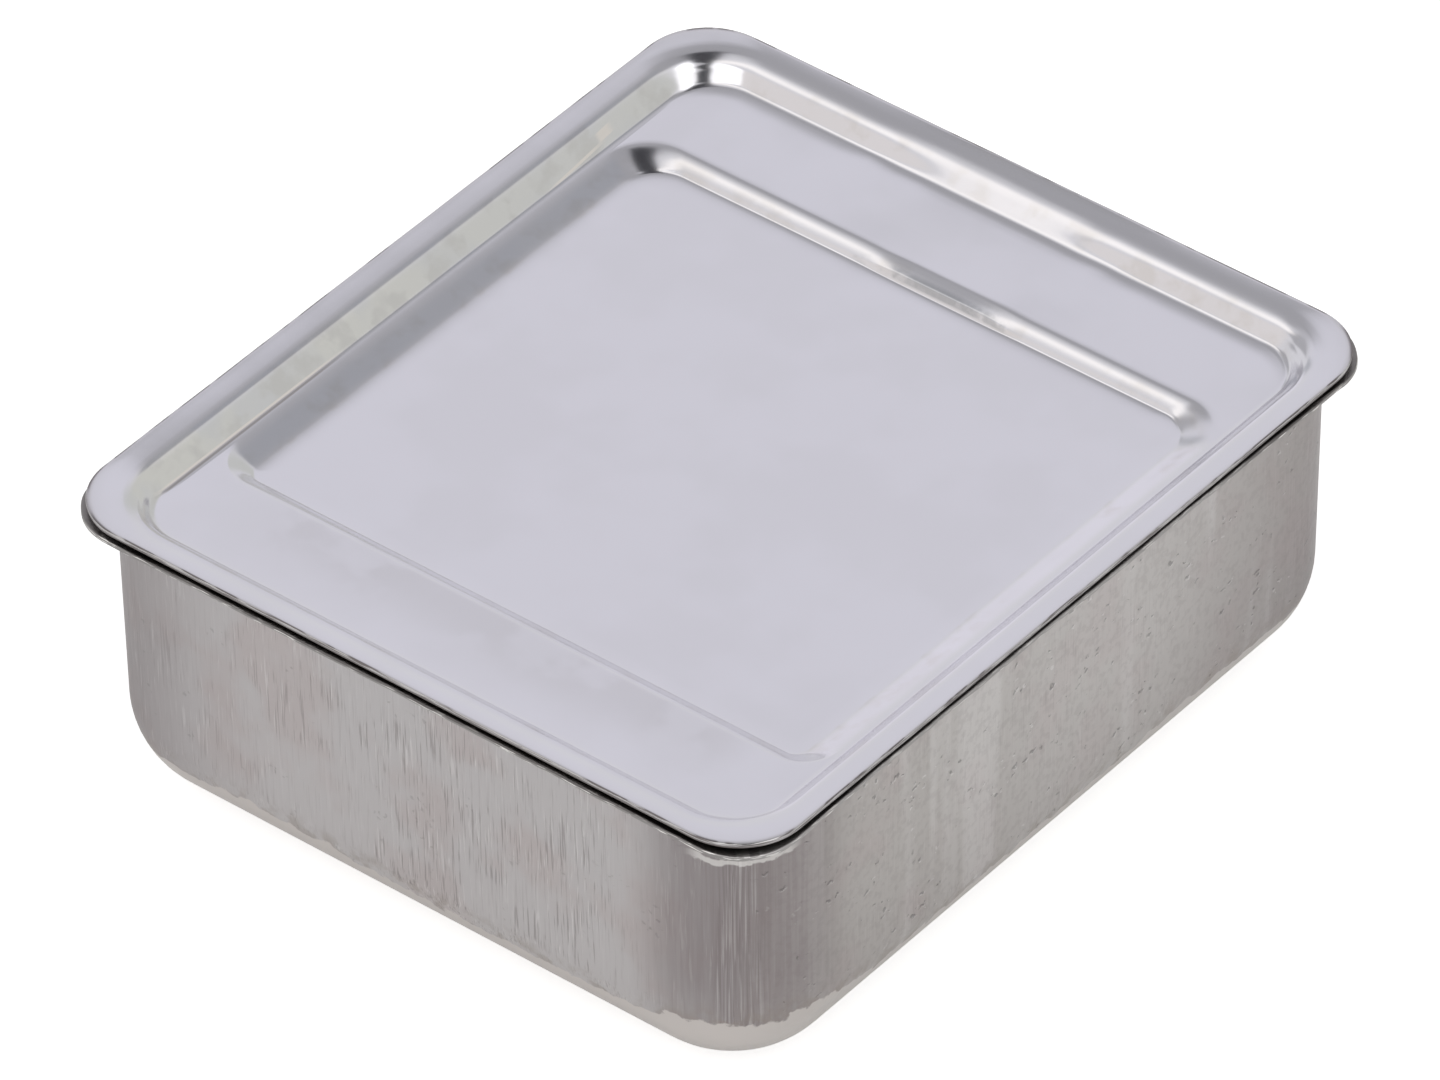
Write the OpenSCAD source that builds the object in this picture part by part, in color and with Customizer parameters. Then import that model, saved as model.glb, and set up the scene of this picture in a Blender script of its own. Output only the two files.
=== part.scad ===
// Shielded enclosure: a deep-drawn can with a trimmed flange, and a pressed cover that plugs into it.
// +Z is up, and the origin is the centre of the underside of the can's base.

/* [Sheet] */
// Thickness of the tinned sheet that both pieces are pressed from
sheet_t = 0.3; // [0.2:0.05:0.4]

/* [Can] */
// Width inside the mouth, along X
inside_w = 48.6; // [42:0.2:60]
// Length inside the mouth, along Y
inside_l = 56.1; // [50:0.2:72]
// Height of the can, from the underside of its base to the top of its flange
can_h = 19.5; // [16:0.5:30]
// Plan radius of the outer wall at its corners, at the mouth
wall_corner_r = 7.1; // [6.5:0.1:9]
// Outer radius of the bend between the wall and the base
base_bend_r = 6; // [3:0.25:6]
// Lean of the wall from upright, in degrees
draft = 0.9; // [0.25:0.05:1.5]
// Radius of the bend under the flange
mouth_bend_r = 0.3; // [0.2:0.05:0.4]
// Width of the flange outside the wall
flange_w = 0.5; // [0.5:0.05:1.5]
// Plan radius of the trimmed corners of the flange
flange_corner_r = 3.9; // [3:0.1:6]

/* [Cover] */
// How far the flange stands out past the cover's edge
flange_proud = 0.1; // [0:0.05:0.3]
// Shadow gap between the cover's rim and the flange
seat_gap = 0.3; // [0.1:0.05:0.5]
// Plan radius of the cover's cut corners
cover_corner_r = 4.3; // [3.5:0.1:6]
// Gap between the inside of the can's wall and the line where the cover's first step leaves the rim
plug_clearance = 0.1; // [0.05:0.05:1.2]
// How much tighter the first step turns its corners than the can's wall does, in radius
corner_tighter = 1.2; // [0:0.1:1.4]
// Depth of the first step, from the rim down to the shelf
step_d = 1.5; // [1.2:0.1:2.5]
// Slope of the first step's wall, in degrees from level
step_slope = 55; // [45:1:65]
// Radius of the bend at the top of the first step, on the upper face
step_bend_r = 2.1; // [0.8:0.1:2.4]
// Radius at the foot of the first step, on the upper face
step_foot_r = 0.25; // [0.1:0.05:0.4]
// Width of the shelf along the two long sides
side_shelf = 0.1; // [0.1:0.05:4]
// Width of the shelf at the two short ends
end_shelf = 5.55; // [2:0.05:10]
// Depth of the middle panel below the shelf
panel_d = 0.9; // [0.6:0.05:2]
// Slope of the panel's wall, in degrees from level
panel_slope = 36; // [25:1:45]
// Radius of the bend at the top of the panel's wall, on the upper face
panel_bend_r = 1.7; // [0.6:0.1:2.2]
// Radius at the foot of the panel's wall, on the upper face
panel_foot_r = 0.3; // [0.1:0.05:0.4]
// Plan radius of the panel's corners at the foot of its wall
panel_corner_r = 2; // [1:0.1:4]

/* [Hidden] */
$fn = 96;
// Largest turn between two neighbouring facets of a bend, in degrees
facet = 9;
// Flat stretch by which a pressed step laps the plates that it joins
lap = 0.1;

// A pressed step is [drop, slope, radius of the bend at its top, radius at its foot], on the upper face.
// Length of its straight slant, and its level run from flat to flat
function slant(step) = (step[0] - (step[2] + step[3]) * (1 - cos(step[1]))) / sin(step[1]);
function run(step) =
    round(1000 * ((step[2] + step[3]) * sin(step[1]) + slant(step) * cos(step[1]))) / 1000;
function inset(size, by) = [size.x - by, size.y - by];
function arc(centre, r, a0, a1) =
    let (count = ceil(abs(a1 - a0) / facet))
    [for (i = [0:count]) centre + r * [cos(a0 + (a1 - a0) * i / count), sin(a0 + (a1 - a0) * i / count)]];

// Half sizes of the plan outlines, X and Y, and the plan radius of each
inside = [inside_w / 2, inside_l / 2];
inside_corner_r = wall_corner_r - sheet_t;
mouth = inset(inside, -sheet_t - mouth_bend_r);
mouth_corner_r = wall_corner_r + mouth_bend_r;
flange = inset(inside, -sheet_t - flange_w);
cover_edge = inset(flange, flange_proud);
step_top = inset(inside, plug_clearance);
step_top_r = inside_corner_r - plug_clearance - corner_tighter;

// The can's wall is one deep step, from the top of the flange down to the inside of the base
wall_step = [can_h - sheet_t, 90 - draft, mouth_bend_r + sheet_t, base_bend_r - sheet_t];
base_flat = inset(mouth, run(wall_step));
base_flat_r = mouth_corner_r - run(wall_step);

// The cover's two steps
rim_top = can_h + seat_gap + sheet_t;
first_step = [step_d, step_slope, step_bend_r, step_foot_r];
shelf_top = rim_top - step_d;
shelf = inset(step_top, run(first_step));
shelf_r = step_top_r - run(first_step);
panel_step = [panel_d, panel_slope, panel_bend_r, panel_foot_r];
panel_mouth = [shelf.x - side_shelf, shelf.y - end_shelf];
panel_mouth_r = panel_corner_r + run(panel_step);
panel = inset(panel_mouth, run(panel_step));

// Flat outline with round corners, from its half sizes
module outline(half, r) {
    square([2 * (half.x - r), 2 * half.y], center = true);
    square([2 * half.x, 2 * (half.y - r)], center = true);
    for (sx = [-1, 1], sy = [-1, 1])
        translate([sx * (half.x - r), sy * (half.y - r)]) circle(r = r);
}

// One thickness of sheet over an outline, with its upper face at z
module plate(half, r, z) {
    translate([0, 0, z - sheet_t]) linear_extrude(sheet_t) outline(half, r);
}

// A plate with an opening of another outline
module ring_plate(half, r, hole, hole_r, z) {
    translate([0, 0, z - sheet_t]) linear_extrude(sheet_t)
        difference() {
            outline(half, r);
            outline(hole, hole_r);
        }
}

// Section of a pressed step: the upper flat ends at the origin, and the sheet falls towards -X
module step_section(step) {
    drop = step[0];
    slope = step[1];
    top = [0, -step[2]];
    foot = [-run(step), step[3] - drop];
    end = foot.x - lap;
    polygon(concat(
        [[lap, 0]],
        arc(top, step[2], 90, 90 + slope),
        arc(foot, step[3], slope - 90, -90),
        [[end, -drop], [end, -drop - sheet_t]],
        arc(foot, step[3] + sheet_t, -90, slope - 90),
        arc(top, step[2] - sheet_t, 90 + slope, 90),
        [[lap, -sheet_t]]));
}

// A pressed step that runs all round an outline, given where its upper flat ends
module pressed_step(half, r, z, step) {
    straight = inset(half, r);
    for (turn = [0, 180]) {
        rotate(turn) translate([half.x, straight.y, z])
            rotate([90, 0, 0]) linear_extrude(2 * straight.y) step_section(step);
        rotate(turn + 90) translate([half.y, straight.x, z])
            rotate([90, 0, 0]) linear_extrude(2 * straight.x) step_section(step);
    }
    for (sx = [0, 1], sy = [0, 1])
        mirror([sx, 0, 0]) mirror([0, sy, 0])
            translate([straight.x, straight.y, z])
                rotate_extrude(angle = 90) translate([r, 0]) step_section(step);
}

module can() {
    color([0.62, 0.6, 0.58]) union() {
        ring_plate(flange, flange_corner_r, mouth, mouth_corner_r, can_h);
        pressed_step(mouth, mouth_corner_r, can_h, wall_step);
        plate(base_flat, base_flat_r, sheet_t);
    }
}

module cover() {
    color([0.8, 0.8, 0.83]) union() {
        ring_plate(cover_edge, cover_corner_r, step_top, step_top_r, rim_top);
        pressed_step(step_top, step_top_r, rim_top, first_step);
        ring_plate(shelf, shelf_r, panel_mouth, panel_mouth_r, shelf_top);
        pressed_step(panel_mouth, panel_mouth_r, shelf_top, panel_step);
        plate(panel, panel_corner_r, shelf_top - panel_d);
    }
}

can();
cover();
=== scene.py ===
import math

import bpy
import numpy as np
from mathutils import Matrix, Vector, noise


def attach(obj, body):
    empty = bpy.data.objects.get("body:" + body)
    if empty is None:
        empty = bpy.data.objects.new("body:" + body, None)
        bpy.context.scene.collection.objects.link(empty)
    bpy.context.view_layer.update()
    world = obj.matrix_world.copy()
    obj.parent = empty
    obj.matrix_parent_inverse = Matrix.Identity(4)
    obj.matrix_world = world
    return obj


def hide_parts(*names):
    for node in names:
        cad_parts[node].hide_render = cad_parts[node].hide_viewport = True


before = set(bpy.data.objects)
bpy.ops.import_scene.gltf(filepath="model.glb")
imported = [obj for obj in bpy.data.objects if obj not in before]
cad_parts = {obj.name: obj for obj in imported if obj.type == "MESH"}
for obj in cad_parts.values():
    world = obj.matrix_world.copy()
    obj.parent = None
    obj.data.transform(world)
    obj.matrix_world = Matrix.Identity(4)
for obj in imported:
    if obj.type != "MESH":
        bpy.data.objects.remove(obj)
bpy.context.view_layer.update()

mm = 0.001
tiny = 1e-6      # keeps a division safe

# The camera stands where the photograph was taken from
photoView = {
    "azimuth": 39.13,            # degrees round from the front, towards +X
    "elevation": 39.83,
    "roll": -0.73,
    "lens": 350.0,               # millimetres, like the width of the sensor
    "sensor": 36.0,
    "distance": 781.4,           # millimetres from the point looked at
    "lookAt": (6.4, -8.25, 20.1),
    "clip": (0.01, 20.0),        # metres
}


def makeCamera(view):
    az, el, roll = (math.radians(view[k]) for k in ("azimuth", "elevation", "roll"))
    back = Vector((math.sin(az) * math.cos(el), -math.cos(az) * math.cos(el), math.sin(el)))
    right = Vector((math.cos(az), math.sin(az), 0.0))
    up = back.cross(right)
    across = right * math.cos(roll) + up * math.sin(roll)
    upward = up * math.cos(roll) - right * math.sin(roll)
    place = Vector(view["lookAt"]) * mm + back * view["distance"] * mm
    camera = bpy.data.objects.new("photoCamera", bpy.data.cameras.new("photoCamera"))
    camera.data.lens = view["lens"]
    camera.data.sensor_width = view["sensor"]
    camera.data.sensor_fit = "HORIZONTAL"
    camera.data.clip_start, camera.data.clip_end = view["clip"]
    turn = Matrix((across, upward, back)).transposed().to_4x4()
    camera.matrix_world = Matrix.Translation(place) @ turn
    bpy.context.scene.collection.objects.link(camera)
    bpy.context.scene.camera = camera


makeCamera(photoView)
print("camera placed")

# Every line of the pressed sheet is one closed ring of points, and all rings have the same count
ringCounts = {"corner": 20, "alongX": 60, "alongY": 72}
cornerSigns = [(1, 1), (-1, 1), (-1, -1), (1, -1)]


def ringTemplate(counts):
    parts = []
    for i, (sx, sy) in enumerate(cornerSigns):
        for turn in np.linspace(0, math.pi / 2, counts["corner"] + 1) + i * math.pi / 2:
            parts.append((sx, sy, math.cos(turn), math.sin(turn)))
        nx, ny = cornerSigns[(i + 1) % 4]
        steps = counts["alongX"] if ny == sy else counts["alongY"]
        turnX, turnY = parts[-1][2:]
        for k in range(1, steps):
            f = k / steps
            parts.append((sx + (nx - sx) * f, sy + (ny - sy) * f, turnX, turnY))
    return np.array(parts)


ring = ringTemplate(ringCounts)
cornerBlend = 4      # how late a corner leaves the height of the long side for that of the end


# A row is (half width, half length, corner radius, height along the long sides, height along the ends,
# share of the radius that the two near corners have)
def ringPoints(row):
    halfX, halfY, radius, zSide, zEnd, nearShare = row
    radius = max(radius, 0.0) * (nearShare + (1 - nearShare) * (ring[:, 1] + 1) / 2)
    share = 1 - ring[:, 2] ** cornerBlend
    return np.stack([ring[:, 0] * (halfX - radius) + radius * ring[:, 2],
                     ring[:, 1] * (halfY - radius) + radius * ring[:, 3],
                     zSide * (1 - share) + zEnd * share], axis=1)


# An outline is (half width, half length, corner radius)
def inset(outline, by):
    return tuple(v - by for v in outline)


def between(outlineA, outlineB, f):
    return tuple(a + (b - a) * f for a, b in zip(outlineA, outlineB))


# Line of a pressed step as (inset, height) pairs, on its upper face or by "under" below it
def stepCurve(step, under, arcs, slants):
    drop, slope = step["drop"], math.radians(step["slope"])
    bendR, footR = step["bendR"], step["footR"]
    slant = (drop - (bendR + footR) * (1 - math.cos(slope))) / math.sin(slope)
    run = (bendR + footR) * math.sin(slope) + slant * math.cos(slope)
    bend, foot = [], []
    for i in range(arcs + 1):
        a = math.pi / 2 + slope * i / arcs
        bend.append((-(bendR - under) * math.cos(a), -bendR + (bendR - under) * math.sin(a)))
        a = slope - math.pi / 2 - slope * i / arcs
        foot.append((run - (footR + under) * math.cos(a), footR - drop + (footR + under) * math.sin(a)))
    (x0, z0), (x1, z1) = bend[-1], foot[0]
    middle = [(x0 + (x1 - x0) * i / slants, z0 + (z1 - z0) * i / slants) for i in range(1, slants)]
    return bend + middle + foot


# Line of a pressed face from (distance in from the edge, slope) pairs: distance, height and slope
def slopeCurve(pairs, drop, steps):
    fine = 12        # points worked out for each one that is kept
    stops = np.arange((len(pairs) - 1) * steps * fine + 1) / (steps * fine)
    index = np.arange(len(pairs))
    away = np.interp(stops, index, [pair[0] for pair in pairs])
    slope = np.radians(np.interp(stops, index, [pair[1] for pair in pairs]))
    fall = np.diff(away) * np.tan((slope[1:] + slope[:-1]) / 2)
    height = -np.concatenate([[0], np.cumsum(fall)])
    height *= -drop / height[-1]
    return away[::fine], height[::fine], slope[::fine]


# Rows over a trimmed edge: from the upper face round to the lower one, "edgeR" at both arrises
def edgeRows(outline, top, thickness, edgeR, arcs=3):
    rows = []
    for i in range(arcs + 1):
        a = math.pi / 2 * (1 - i / arcs)
        z = top - edgeR * (1 - math.sin(a))
        rows.append((*inset(outline, edgeR * (1 - math.cos(a))), z, z, 1.0))
    for i in range(arcs + 1):
        a = -math.pi / 2 * i / arcs
        z = top - thickness + edgeR * (1 + math.sin(a))
        rows.append((*inset(outline, edgeR * (1 - math.cos(a))), z, z, 1.0))
    return rows


# Fills the middle of a ring with a grid, so that a flat panel has no poles
def fillRing(points):
    def corner(i):
        return points[i][None, None, :]

    half = ringCounts["corner"] // 2
    nx = ringCounts["alongX"] + ringCounts["corner"]
    ny = ringCounts["alongY"] + ringCounts["corner"]
    order = np.roll(np.arange(len(points)), -half)
    top = order[:nx + 1]
    left = order[nx:nx + ny + 1]
    bottom = order[nx + ny:2 * nx + ny + 1][::-1]
    right = np.append(order[2 * nx + ny:], order[0])[::-1]
    u = np.linspace(0, 1, nx + 1)[None, :, None]
    v = np.linspace(0, 1, ny + 1)[:, None, None]
    sides = ((1 - v) * points[top][None] + v * points[bottom][None]
             + (1 - u) * points[right][:, None] + u * points[left][:, None])
    bilinear = ((1 - u) * (1 - v) * corner(top[0]) + u * (1 - v) * corner(top[-1])
                + (1 - u) * v * corner(bottom[0]) + u * v * corner(bottom[-1]))
    grid = sides - bilinear
    index = -np.ones((ny + 1, nx + 1), int)
    index[0], index[-1], index[:, 0], index[:, -1] = top, bottom, right, left
    return grid, index


seedShift = (7.3, 3.1, 5.7)


# Smooth noise at points, for a wave given as (size in millimetres, seed)
def wobble(points, wave):
    size, seed = wave
    shift = Vector([seed * step for step in seedShift])
    return np.array([noise.noise(Vector(p) / size + shift) for p in points])


def smooth(low, high, values):
    f = np.clip((values - low) / (high - low), 0, 1)
    return f * f * (3 - 2 * f)


cornerReach = (0.55, 0.97)       # shares of a side's half length


# From 0 along the sides to 1 at the corners
def cornerness(points, halfX, halfY):
    fx, fy = np.abs(points[:, 0]) / halfX, np.abs(points[:, 1]) / halfY
    return smooth(*cornerReach, np.minimum(fx, fy))


# Closed mesh from rings of points: the first and the last ring are filled, and "shape" bends the whole
def sheetPiece(name, rows, shape, marks):
    rings = [ringPoints(row) for row in rows]
    count = len(ring)
    points = list(rings)
    faces = []
    for r in range(len(rows) - 1):
        for i in range(count):
            j = (i + 1) % count
            faces.append((r * count + i, (r + 1) * count + i, (r + 1) * count + j, r * count + j))
    total = len(rows) * count
    markValues = {key: list(np.repeat(values, count)) for key, values in marks.items()}
    for end, last in ((0, False), (len(rows) - 1, True)):
        grid, index = fillRing(rings[end])
        index = np.where(index >= 0, index + end * count, index)
        inner = index < 0
        index[inner] = total + np.arange(inner.sum())
        points.append(grid[inner])
        total += int(inner.sum())
        for key in markValues:
            markValues[key] += [marks[key][end]] * int(inner.sum())
        a, b, c, d = index[:-1, :-1], index[:-1, 1:], index[1:, 1:], index[1:, :-1]
        quads = np.stack([a, b, c, d], axis=-1).reshape(-1, 4)
        faces += [tuple(q) for q in (quads[:, ::-1] if last else quads)]
    points = shape(np.concatenate(points), {k: np.array(v) for k, v in markValues.items()})
    mesh = bpy.data.meshes.new(name)
    mesh.from_pydata((points * mm).tolist(), [], [tuple(int(i) for i in f) for f in faces])
    markValues["corner"] = cornerness(points, *np.abs(points[:, :2]).max(axis=0))
    for key, values in markValues.items():
        layer = mesh.attributes.new(key, "FLOAT", "POINT")
        layer.data.foreach_set("value", np.array(values, np.float32))
    mesh.polygons.foreach_set("use_smooth", [True] * len(mesh.polygons))
    mesh.update()
    piece = bpy.data.objects.new(name, mesh)
    bpy.context.scene.collection.objects.link(piece)
    return piece


# Sizes are in millimetres and slopes in degrees. Each stop of the cover's section is (distance in,
# slope) on the long sides, the same at the ends, the corner radius, and the share of it that the two near
# corners have.
coverShape = {
    "sheet": 0.3,
    "edge": (25.0, 28.75, 4.3),  # half width, half length, corner radius
    "rimTop": 20.1,
    "edgeR": 0.05,               # where the cut edge meets the faces
    "panelDrop": 2.36,           # from the rim's edge down to the middle panel
    "stops": [
        ((0.05, 8), (0.05, 5), 4.3, 1.0),
        ((0.60, 8), (0.80, 9), 5.5, 1.0),
        ((1.20, 10), (1.30, 15), 5.1, 1.0),
        ((1.45, 16), (1.60, 18), 4.8, 1.0),
        ((1.65, 23), (1.90, 25), 4.6, 1.0),
        ((1.80, 33), (2.12, 33), 4.4, 1.0),
        ((2.02, 42), (2.35, 46), 4.1, 1.0),
        ((2.30, 49), (2.50, 52), 3.9, 1.0),
        ((2.62, 49), (2.62, 52), 3.6, 1.0),
        ((2.80, 41), (2.78, 42), 3.4, 1.0),
        ((2.92, 27), (2.93, 25), 3.3, 1.0),
        ((3.02, 15), (3.05, 17), 3.22, 1.0),
        ((3.12, 11), (3.22, 8), 3.2, 1.0),
        ((3.20, 13), (4.30, 1), 3.1, 1.0),
        ((3.26, 14), (8.90, 1), 3.0, 1.0),
        ((3.34, 16), (9.30, 5), 3.0, 0.9),
        ((3.50, 18), (9.50, 17), 3.0, 0.8),
        ((3.90, 21), (9.80, 23), 2.9, 0.65),
        ((4.30, 22), (10.05, 30), 2.8, 0.55),
        ((4.70, 21), (10.30, 34), 2.7, 0.45),
        ((5.00, 18), (10.45, 41), 2.6, 0.4),
        ((5.15, 11), (10.58, 30), 2.5, 0.35),
        ((5.40, 7), (10.68, 8), 2.4, 0.35),
        ((5.70, 4), (11.00, 4), 2.4, 0.35),
        ((6.20, 0), (11.70, 0), 2.4, 0.35),
    ],
    # The far end's section in its middle, and (distance in, centre, half width) of that middle
    "farMiddle": [(0.05, 14), (0.30, 14), (0.80, 10), (1.05, 13), (1.30, 18), (1.60, 21), (1.90, 28),
                  (2.20, 30), (2.92, 30), (3.02, 26), (3.12, 20), (3.25, 13), (3.50, 6), (4.30, 3),
                  (7.50, 1), (9.10, 1), (9.35, 6), (9.50, 16), (9.80, 16), (10.30, 19), (10.40, 50),
                  (10.48, 63), (10.58, 61), (10.64, 35), (10.68, 12), (10.80, 6), (11.00, 4), (11.70, 0)],
    "farMiddleX": [(3.3, 0.0, 7.5), (5.0, 0.3, 9.0), (7.5, 1.0, 9.0), (8.6, 1.3, 4.2)],
    "panelSway": 0.02,           # slow waves in the flat middle
    "wallSway": 0.012,           # quicker waves on the pressed walls
    "edgeSway": 0.03,
    "middleSway": 2.0,           # how far the limits of the far middle wander
    # Each wave is (size in millimetres, seed)
    "waves": {"panel": (9.0, 1), "wall": (2.6, 2), "fineWall": (1.3, 9),
              "edge": (5.0, 3), "middle": (3.0, 8)},
    "fineShare": 0.4,            # of the fine waves, against the others
    "panelReach": 6.0,           # distance in at which the panel's waves are full
    "rimFrom": (23.4, 27.2),     # where the edge's waves begin, across and along
    "middlePower": 4,            # how sharply the far middle ends to its sides
    "edgeWear": 0.25,            # how strong the look of the cut edge is on the rim next to it
    "wearFade": (0.05, 0.5),     # and the distances in between which it fades
    "steps": (4, 2),             # rows between two stops, on the upper face and on the lower one
}


def makeCover(shape):
    t, top = shape["sheet"], shape["rimTop"]
    halfX, halfY, _ = shape["edge"]
    upperSteps, lowerSteps = shape["steps"]
    waves = shape["waves"]

    # Rows of a face, each with its mark of the cut edge and of the pressed wall
    def face(under, steps):
        stops = shape["stops"]
        side, zSide, slopeSide = slopeCurve([stop[0] for stop in stops], shape["panelDrop"], steps)
        end, zEnd, slopeEnd = slopeCurve([stop[1] for stop in stops], shape["panelDrop"], steps)
        radius, nearShare = (np.interp(np.arange(len(side)) / steps, np.arange(len(stops)),
                                       [stop[i] for stop in stops]) for i in (2, 3))
        found = []
        for k in range(1, len(side)):
            backX, backY = under * math.sin(slopeSide[k]), under * math.sin(slopeEnd[k])
            row = (halfX - side[k] + backX, halfY - end[k] + backY, radius[k] + (backX + backY) / 2,
                   top + zSide[k] - under * math.cos(slopeSide[k]),
                   top + zEnd[k] - under * math.cos(slopeEnd[k]), nearShare[k])
            found.append((row, shape["edgeWear"] * (1 - smooth(*shape["wearFade"], side[k])),
                          max(math.sin(slopeSide[k]), math.sin(slopeEnd[k]))))
        return found

    end, zEnd, _ = slopeCurve([stop[1] for stop in shape["stops"]], shape["panelDrop"], upperSteps)
    middle, zMiddle, _ = slopeCurve(shape["farMiddle"], shape["panelDrop"], upperSteps)
    sections = [(*found, 0.0) for found in reversed(face(0.0, upperSteps))]
    sections += [(row, 1.0, 0.0, 0.0) for row in edgeRows(shape["edge"], top, t, shape["edgeR"])]
    sections += [(row, 0.0, wallMark, 1.0) for row, _, wallMark in face(t, lowerSteps)]
    rows, cut, wall, gap = zip(*sections)

    def bent(points, marks):
        points = points.copy()
        flat = points * (1, 1, 0)
        far = np.abs(points)
        slow = wobble(flat, waves["panel"])
        quick = wobble(flat, waves["wall"]) + shape["fineShare"] * wobble(flat, waves["fineWall"])
        reach = smooth(0, shape["panelReach"], np.minimum(halfX - far[:, 0], halfY - far[:, 1]))
        points[:, 2] += shape["panelSway"] * slow * reach + shape["wallSway"] * quick * marks["wall"]
        away = halfY - points[:, 1]
        lift = np.interp(away, middle, zMiddle) - np.interp(away, end, zEnd)
        places, centres, halves = zip(*shape["farMiddleX"])
        sway = shape["middleSway"] * wobble(points, waves["middle"])
        sideways = points[:, 0] - np.interp(away, places, centres) + sway
        share = np.exp(-(sideways / np.interp(away, places, halves)) ** shape["middlePower"])
        points[:, 2] += lift * share
        fromX, fromY = shape["rimFrom"]
        rim = smooth(fromX, halfX, far[:, 0]) + smooth(fromY, halfY, far[:, 1])
        points[:, 2] += shape["edgeSway"] * wobble(flat, waves["edge"]) * np.clip(rim, 0, 1)
        return points

    return sheetPiece("coverPressing", rows, bent, {"cutEdge": cut, "wall": wall, "gap": gap})


coverPressing = makeCover(coverShape)
print("cover pressed:", len(coverPressing.data.polygons), "faces")

canShape = {
    "sheet": 0.3,
    "height": 19.5,
    "flange": (25.1, 28.85, 3.9),
    "mouth": (24.9, 28.65, 7.4),
    "edgeR": 0.06,
    "wallStep": {"drop": 19.2, "slope": 89.1, "bendR": 0.6, "footR": 5.7},
    "insideRows": (12, 14),      # arcs of each bend, and slants between the bends
    "outsideRows": (16, 24),
    "gapFade": (-6, -1),         # heights from the mouth between which the painted shade of the gap sets in
    "flangeFade": (-1.2, -0.2),  # and between which the wall takes up the flange's waves
    "flangeDroop": 0.13,         # lower at the corners than along the sides
    "flangeRise": 0.07,          # higher along the side at +X
    "riseFrom": (18, 24),        # and where along X that sets in
    "flangeSway": 0.03,
    "edgeSway": 0.05,            # the trimmed edge wanders in and out
    "wallSway": 0.03,
    "waves": {"flange": (3.5, 4), "edge": (2.2, 5), "fineEdge": (1.1, 6), "wall": (12.0, 7)},
    "fineShare": 0.6,            # of the fine waves, against the others
    "wallStretch": (1, 1, 0.5),  # the wall's waves are longer upright
    "wallLimits": (2, 9, 16, 19),    # heights between which they come in and go out again
    "sidePower": 6,              # how long outward keeps square to a side before it turns the corner
}


def makeCan(shape):
    t, top = shape["sheet"], shape["height"]
    halfX, halfY, _ = shape["flange"]
    waves = shape["waves"]

    def level(outline, z):
        return (*outline, z, z, 1.0)

    def wallRow(d, dz):
        return level(inset(shape["mouth"], d), top + dz)

    # Rows, each with its mark of the cut edge, of the gap's painted shade and of the flange
    middle = between(inset(shape["flange"], shape["edgeR"]), shape["mouth"], 0.5)
    sections = [(wallRow(d, dz), 0.0, smooth(*shape["gapFade"], dz), smooth(*shape["flangeFade"], dz))
                for d, dz in reversed(stepCurve(shape["wallStep"], 0.0, *shape["insideRows"]))]
    sections.append((level(middle, top), 0.0, 1.0, 1.0))
    sections += [(row, 1.0, 0.0, 1.0) for row in edgeRows(shape["flange"], top, t, shape["edgeR"])]
    sections.append((level(middle, top - t), 0.0, 0.0, 1.0))
    sections += [(wallRow(d, dz), 0.0, 0.0, smooth(*shape["flangeFade"], dz + t))
                 for d, dz in stepCurve(shape["wallStep"], t, *shape["outsideRows"])]
    rows, cut, gap, flange = zip(*sections)

    def bent(points, marks):
        points = points.copy()
        corner = cornerness(points, halfX, halfY)
        flat = points * (1, 1, 0)
        lift = 0.5 * shape["flangeDroop"] - shape["flangeDroop"] * corner
        lift += shape["flangeRise"] * smooth(*shape["riseFrom"], points[:, 0]) * (1 - corner)
        points[:, 2] += marks["flange"] * (lift + shape["flangeSway"] * wobble(flat, waves["flange"]))
        outward = flat / (halfX, halfY, 1)
        outward *= np.abs(outward) ** shape["sidePower"]
        outward /= np.maximum(np.linalg.norm(outward, axis=1), tiny)[:, None]
        wander = wobble(flat, waves["edge"]) + shape["fineShare"] * wobble(flat, waves["fineEdge"])
        points += outward * (marks["cutEdge"] * shape["edgeSway"] * wander)[:, None]
        low, full, fade, high = shape["wallLimits"]
        upright = smooth(low, full, points[:, 2]) * (1 - smooth(fade, high, points[:, 2]))
        bow = shape["wallSway"] * wobble(points * shape["wallStretch"], waves["wall"])
        points += outward * (upright * bow)[:, None]
        return points

    return sheetPiece("canDrawing", rows, bent, {"cutEdge": cut, "gap": gap, "flange": flange})


canDrawing = makeCan(canShape)
print("can drawn:", len(canDrawing.data.polygons), "faces")


# Small helpers for node trees
def plug(tree, node, inputs):
    for key, value in inputs.items():
        if isinstance(value, bpy.types.NodeSocket):
            tree.links.new(value, node.inputs[key])
        else:
            node.inputs[key].default_value = value


def addNode(tree, kind, inputs=None, **settings):
    node = tree.nodes.new(kind)
    for key, value in settings.items():
        setattr(node, key, value)
    plug(tree, node, inputs or {})
    return node


# A group takes vectors, given here as None, and numbers, and it gives one mask
def newGroup(name, inputs):
    tree = bpy.data.node_groups.new(name, "ShaderNodeTree")
    for label, value in inputs.items():
        kind = "NodeSocketVector" if value is None else "NodeSocketFloat"
        socket = tree.interface.new_socket(label, in_out="INPUT", socket_type=kind)
        if value is not None:
            socket.default_value = value
    tree.interface.new_socket("Mask", in_out="OUTPUT", socket_type="NodeSocketFloat")
    given = tree.nodes.new("NodeGroupInput").outputs
    return tree, given, tree.nodes.new("NodeGroupOutput").inputs["Mask"]


def useGroup(tree, group, inputs):
    return addNode(tree, "ShaderNodeGroup", inputs, node_tree=group).outputs["Mask"]


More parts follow.
